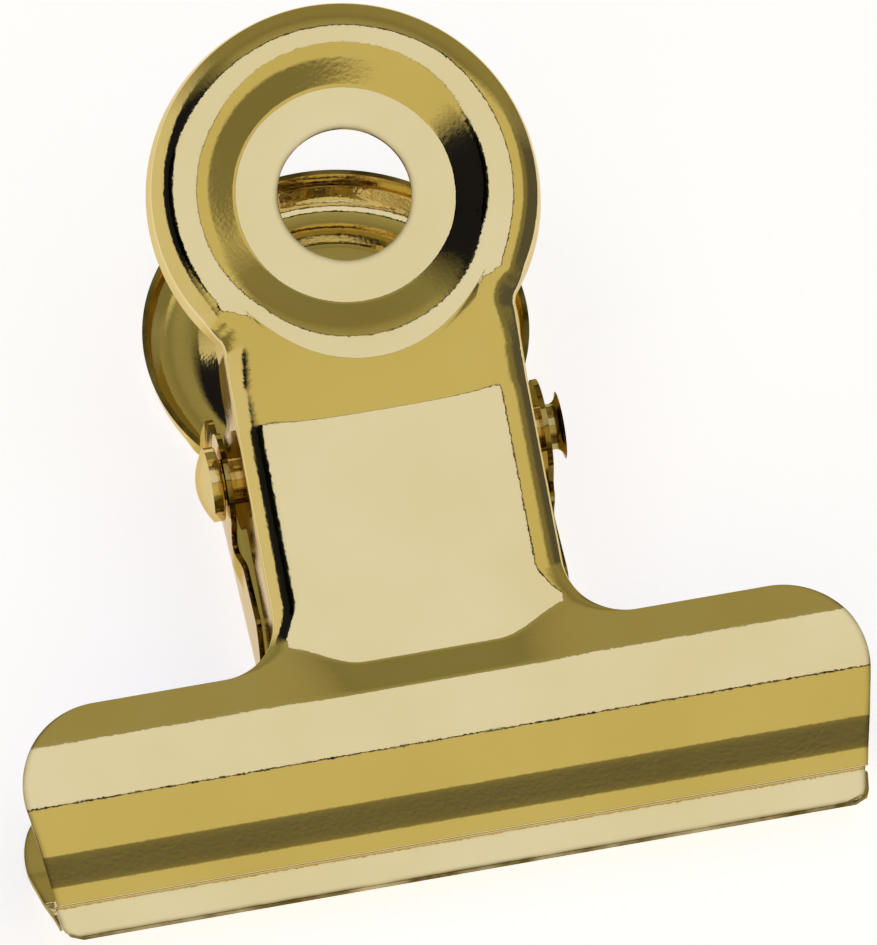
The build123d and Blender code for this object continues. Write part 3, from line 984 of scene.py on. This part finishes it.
# %% White floor
FLOOR_HALF = 12
FLOOR_DROP = -2e-5
PAPER_GLOW = 0.70
PAPER_GLOW_COLOUR = (0.83, 0.85, 1, 1)
floor_mesh = bpy.data.meshes.new("floor")
floor_sides = [(-1, -1), (1, -1), (1, 1), (-1, 1)]
floor_corners = [(FLOOR_HALF * x, FLOOR_HALF * y, FLOOR_DROP) for x, y in floor_sides]
floor_mesh.from_pydata(floor_corners, [], [(0, 1, 2, 3)])
floor = bpy.data.objects.new("floor", floor_mesh)
bpy.context.scene.collection.objects.link(floor)
# Matt white paper: to the eye an even white with no shine.
paper = bpy.data.materials.new("white_paper")
paper.use_nodes = True
tree = paper.node_tree
tree.nodes.clear()
ray = add(tree, "ShaderNodeLightPath").outputs
seen = add(tree, "ShaderNodeMath", {0: ray["Is Camera Ray"], 1: ray["Is Glossy Ray"]}, operation="ADD")
seen = add(tree, "ShaderNodeMath", {
    0: seen.outputs[0], 1: ray["Is Transmission Ray"],
}, operation="ADD", use_clamp=True)
lift = add(tree, "ShaderNodeMath", {0: seen.outputs[0], 1: PAPER_GLOW}, operation="MULTIPLY")
matt = add(tree, "ShaderNodeBsdfDiffuse", {"Color": linear("#F2F2F2")})
glow = add(tree, "ShaderNodeEmission", {"Color": PAPER_GLOW_COLOUR, "Strength": lift.outputs[0]})
both = add(tree, "ShaderNodeAddShader", {0: matt.outputs[0], 1: glow.outputs[0]})
add(tree, "ShaderNodeOutputMaterial", {"Surface": both.outputs[0]})
floor_mesh.materials.append(paper)
print("floor", floor.dimensions[:])

# %% [markdown]
# A mirror-bright clip shows its surroundings, so the studio matters as much as the metal. One soft
# box overhead gives the white of the flat faces. Each of its edges is set by an angle from straight
# up, because that angle decides which facet still mirrors it. A black frame goes round it.

# %% Soft box
BOX_HEIGHT = 1.0
BOX_LIGHT = 0.93
BOX_ANGLES = {"left": 30, "near": 27, "right": 26, "far": 12.3}
FRAME_ANGLES = {"left": 44, "near": 29.5, "right": 29, "far": 14.5}


def overhead(angles):
    """Low and high (x, y) corner of a rectangle at box height: the height times each angle's tangent."""
    reach = {side: math.tan(math.radians(angle)) for side, angle in angles.items()}
    low = np.array([-reach["left"], -reach["near"]]) * BOX_HEIGHT
    high = np.array([reach["right"], reach["far"]]) * BOX_HEIGHT
    return low, high


box_low, box_high = overhead(BOX_ANGLES)
box_size = (box_high - box_low).tolist()
box_middle = ((box_low + box_high) / 2).tolist()
soft_box = bpy.data.lights.new("soft_box", "AREA")
soft_box.shape = "RECTANGLE"
soft_box.size = box_size[0]
soft_box.size_y = box_size[1]
soft_box.energy = BOX_LIGHT * math.pi * box_size[0] * box_size[1]
lamp = bpy.data.objects.new("soft_box", soft_box)
lamp.location = (*box_middle, BOX_HEIGHT)
bpy.context.scene.collection.objects.link(lamp)
print("soft box", [round(v, 2) for v in box_size], "m,", round(soft_box.energy, 2), "W")

# %% [markdown]
# The rest of the studio is the world, and all of it stops at the soft box's frame. To find the
# frame, a direction is carried up to the box's own level, and its distance from the frame's middle,
# in half sizes, says whether it has left the frame. Black cards round a lamp would do the same.

# %% The frame in the world
EDGE_SOFT = 0.02
frame_low, frame_high = overhead(FRAME_ANGLES)
frame_half = ((frame_high - frame_low) / 2).tolist()
frame_middle = ((frame_high + frame_low) / 2).tolist()
studio = bpy.data.worlds.new("studio")
bpy.context.scene.world = studio
studio.use_nodes = True
tree = studio.node_tree
tree.nodes.clear()
way = add(tree, "ShaderNodeTexCoord").outputs["Generated"]
height = add(tree, "ShaderNodeSeparateXYZ", {0: way}).outputs["Z"]
reach = add(tree, "ShaderNodeMath", {0: BOX_HEIGHT, 1: height}, operation="DIVIDE").outputs[0]
spot = add(tree, "ShaderNodeVectorMath", {0: way, "Scale": reach}, operation="SCALE").outputs[0]
spot = add(tree, "ShaderNodeVectorMath", {0: spot, 1: (*frame_middle, 0)}, operation="SUBTRACT").outputs[0]
spot = add(tree, "ShaderNodeVectorMath", {0: spot, 1: (*frame_half, 1)}, operation="DIVIDE").outputs[0]
spot = add(tree, "ShaderNodeVectorMath", {0: spot}, operation="ABSOLUTE").outputs[0]
sides = add(tree, "ShaderNodeSeparateXYZ", {0: spot}).outputs
edge = add(tree, "ShaderNodeMath", {0: sides["X"], 1: sides["Y"]}, operation="MAXIMUM").outputs[0]
outside = add(tree, "ShaderNodeMapRange", {
    "Value": edge, "From Min": 1 - EDGE_SOFT, "From Max": 1 + EDGE_SOFT,
}).outputs["Result"]
print("frame", [round(2 * v, 2) for v in frame_half], "m")

# %% [markdown]
# A zone of the world is a colour that changes with height, shown in one direction of the compass. A
# photographed surround would bring a real room into the metal, so the zones are drawn with two
# helpers: one measures how far a direction points one way, and one colours it by its height.

# %% Direction and height in the world
level = add(tree, "ShaderNodeVectorMath", {0: way, 1: (1, 1, 0)}, operation="MULTIPLY").outputs[0]
level = add(tree, "ShaderNodeVectorMath", {0: level}, operation="NORMALIZE").outputs[0]


def toward(vector, compass, first, last):
    """How far a vector lies along a compass direction: 0 at the product first, 1 at the product last."""
    lean = add(tree, "ShaderNodeVectorMath", {0: vector, 1: compass}, operation="DOT_PRODUCT")
    span = add(tree, "ShaderNodeMapRange", {
        "Value": lean.outputs["Value"], "From Min": first, "From Max": last,
    })
    return span.outputs["Result"]


def by_height(vector, rise, stops):
    """Colour of a zone by a vector's height along rise, blended between stops of height and colour."""
    along = add(tree, "ShaderNodeVectorMath", {0: vector, 1: rise}, operation="DOT_PRODUCT")
    zone = add(tree, "ShaderNodeValToRGB", {"Fac": along.outputs["Value"]})
    while len(zone.color_ramp.elements) < len(stops):
        zone.color_ramp.elements.new(1.0)
    for element, (place, colour) in zip(zone.color_ramp.elements, stops):
        element.position = place
        element.color = colour
    return zone.outputs["Color"]


print("world nodes so far:", len(tree.nodes))

# %% [markdown]
# What a facet mirrors depends on which way it leans, so the studio has three zones. The near one is
# warm, dim low down and gold higher up, for the facets of the jaw. The far one is olive, for the
# climb behind the jaw and the top of the rims. The left one is pale low down and black above, for the
# dark lines along the left edges. Coloured cards round a real clip would do the same.

# %% Zones of the studio
NEAR_ZONE = [
    (0.03, (0.11, 0.10, 0.07, 1)),
    (0.15, (0.235, 0.206, 0.08, 1)),
    (0.30, (0.24, 0.21, 0.085, 1)),
    (0.41, (0.71, 0.62, 0.275, 1)),
]
FAR_ZONE = [
    (0.04, (0.165, 0.148, 0.08, 1)),
    (0.22, (0.33, 0.29, 0.11, 1)),
    (0.70, (0.26, 0.23, 0.09, 1)),
    (0.95, (0.40, 0.355, 0.15, 1)),
]
LEFT_ZONE = [
    (0.47, (0.80, 0.72, 0.43, 1)),
    (0.51, (0.012, 0.012, 0.016, 1)),
]
FAR_WAY = (0.35, 0.937, 0)
NEAR_WAY = (0.42, -0.907, 0)
UP = (0, 0, 1)
# Heights in the near zone are measured along a line that leans a little to the left.
NEAR_UP = (-0.16, 0, 1)
near_colour = by_height(way, NEAR_UP, NEAR_ZONE)
far_colour = by_height(way, UP, FAR_ZONE)
left_colour = by_height(way, UP, LEFT_ZONE)
back_room = add(tree, "ShaderNodeMix", {
    "Factor": toward(level, FAR_WAY, 0.35, 0.70), 6: left_colour, 7: far_colour,
}, data_type="RGBA")
room = add(tree, "ShaderNodeMix", {
    "Factor": toward(level, NEAR_WAY, -0.02, 0.25), 6: back_room.outputs[2], 7: near_colour,
}, data_type="RGBA")
sky = add(tree, "ShaderNodeBackground", {"Color": room.outputs[2], "Strength": outside})
add(tree, "ShaderNodeOutputWorld", {"Surface": sky.outputs[0]})
print("studio of", len(tree.nodes), "nodes")

# %% [markdown]
# The camera stands where the photographer stood: high, a little to the left and far away, with a
# long lens. Its place was fitted to points of the clip that can be named in the photograph. It could
# be aimed by eye, but a fitted camera shows any wrong size of the clip at once.

# %% Camera
AZIMUTH = math.radians(11.32)
ELEVATION = math.radians(56.97)
ROLL = math.radians(-0.21)
DISTANCE = 1.239
PIXELS = (877, 945)
FOCAL_PIXELS = 14040.0
PIVOT_PIXEL = (380.6, 455.9)
SENSOR = 36.0
pivot = Vector((0, HINGE_Y / 1000, HINGE_HEIGHT / 1000))
away = math.cos(ELEVATION)
towards = Vector((-math.sin(AZIMUTH) * away, -math.cos(AZIMUTH) * away, math.sin(ELEVATION)))
level_right = Vector((math.cos(AZIMUTH), -math.sin(AZIMUTH), 0))
level_up = towards.cross(level_right)
right = level_right * math.cos(ROLL) + level_up * math.sin(ROLL)
up = level_up * math.cos(ROLL) - level_right * math.sin(ROLL)
pixel = DISTANCE / FOCAL_PIXELS
aim = pivot + right * (PIXELS[0] / 2 - PIVOT_PIXEL[0]) * pixel
aim = aim - up * (PIXELS[1] / 2 - PIVOT_PIXEL[1]) * pixel
stand = pivot + towards * DISTANCE
back = (stand - aim).normalized()
side_way = up.cross(back).normalized()
turn = Matrix((side_way, back.cross(side_way), back)).transposed().to_4x4()
lens = bpy.data.cameras.new("photograph")
lens.sensor_fit = "HORIZONTAL"
lens.sensor_width = SENSOR
lens.lens = FOCAL_PIXELS * SENSOR / PIXELS[0]
lens.clip_start = 0.05
camera = bpy.data.objects.new("photograph", lens)
camera.matrix_world = Matrix.Translation(stand) @ turn
bpy.context.scene.collection.objects.link(camera)
bpy.context.scene.camera = camera
bpy.context.scene.view_settings.view_transform = "Standard"
print("camera at", [round(v, 3) for v in stand], "lens", round(lens.lens, 1), "mm")
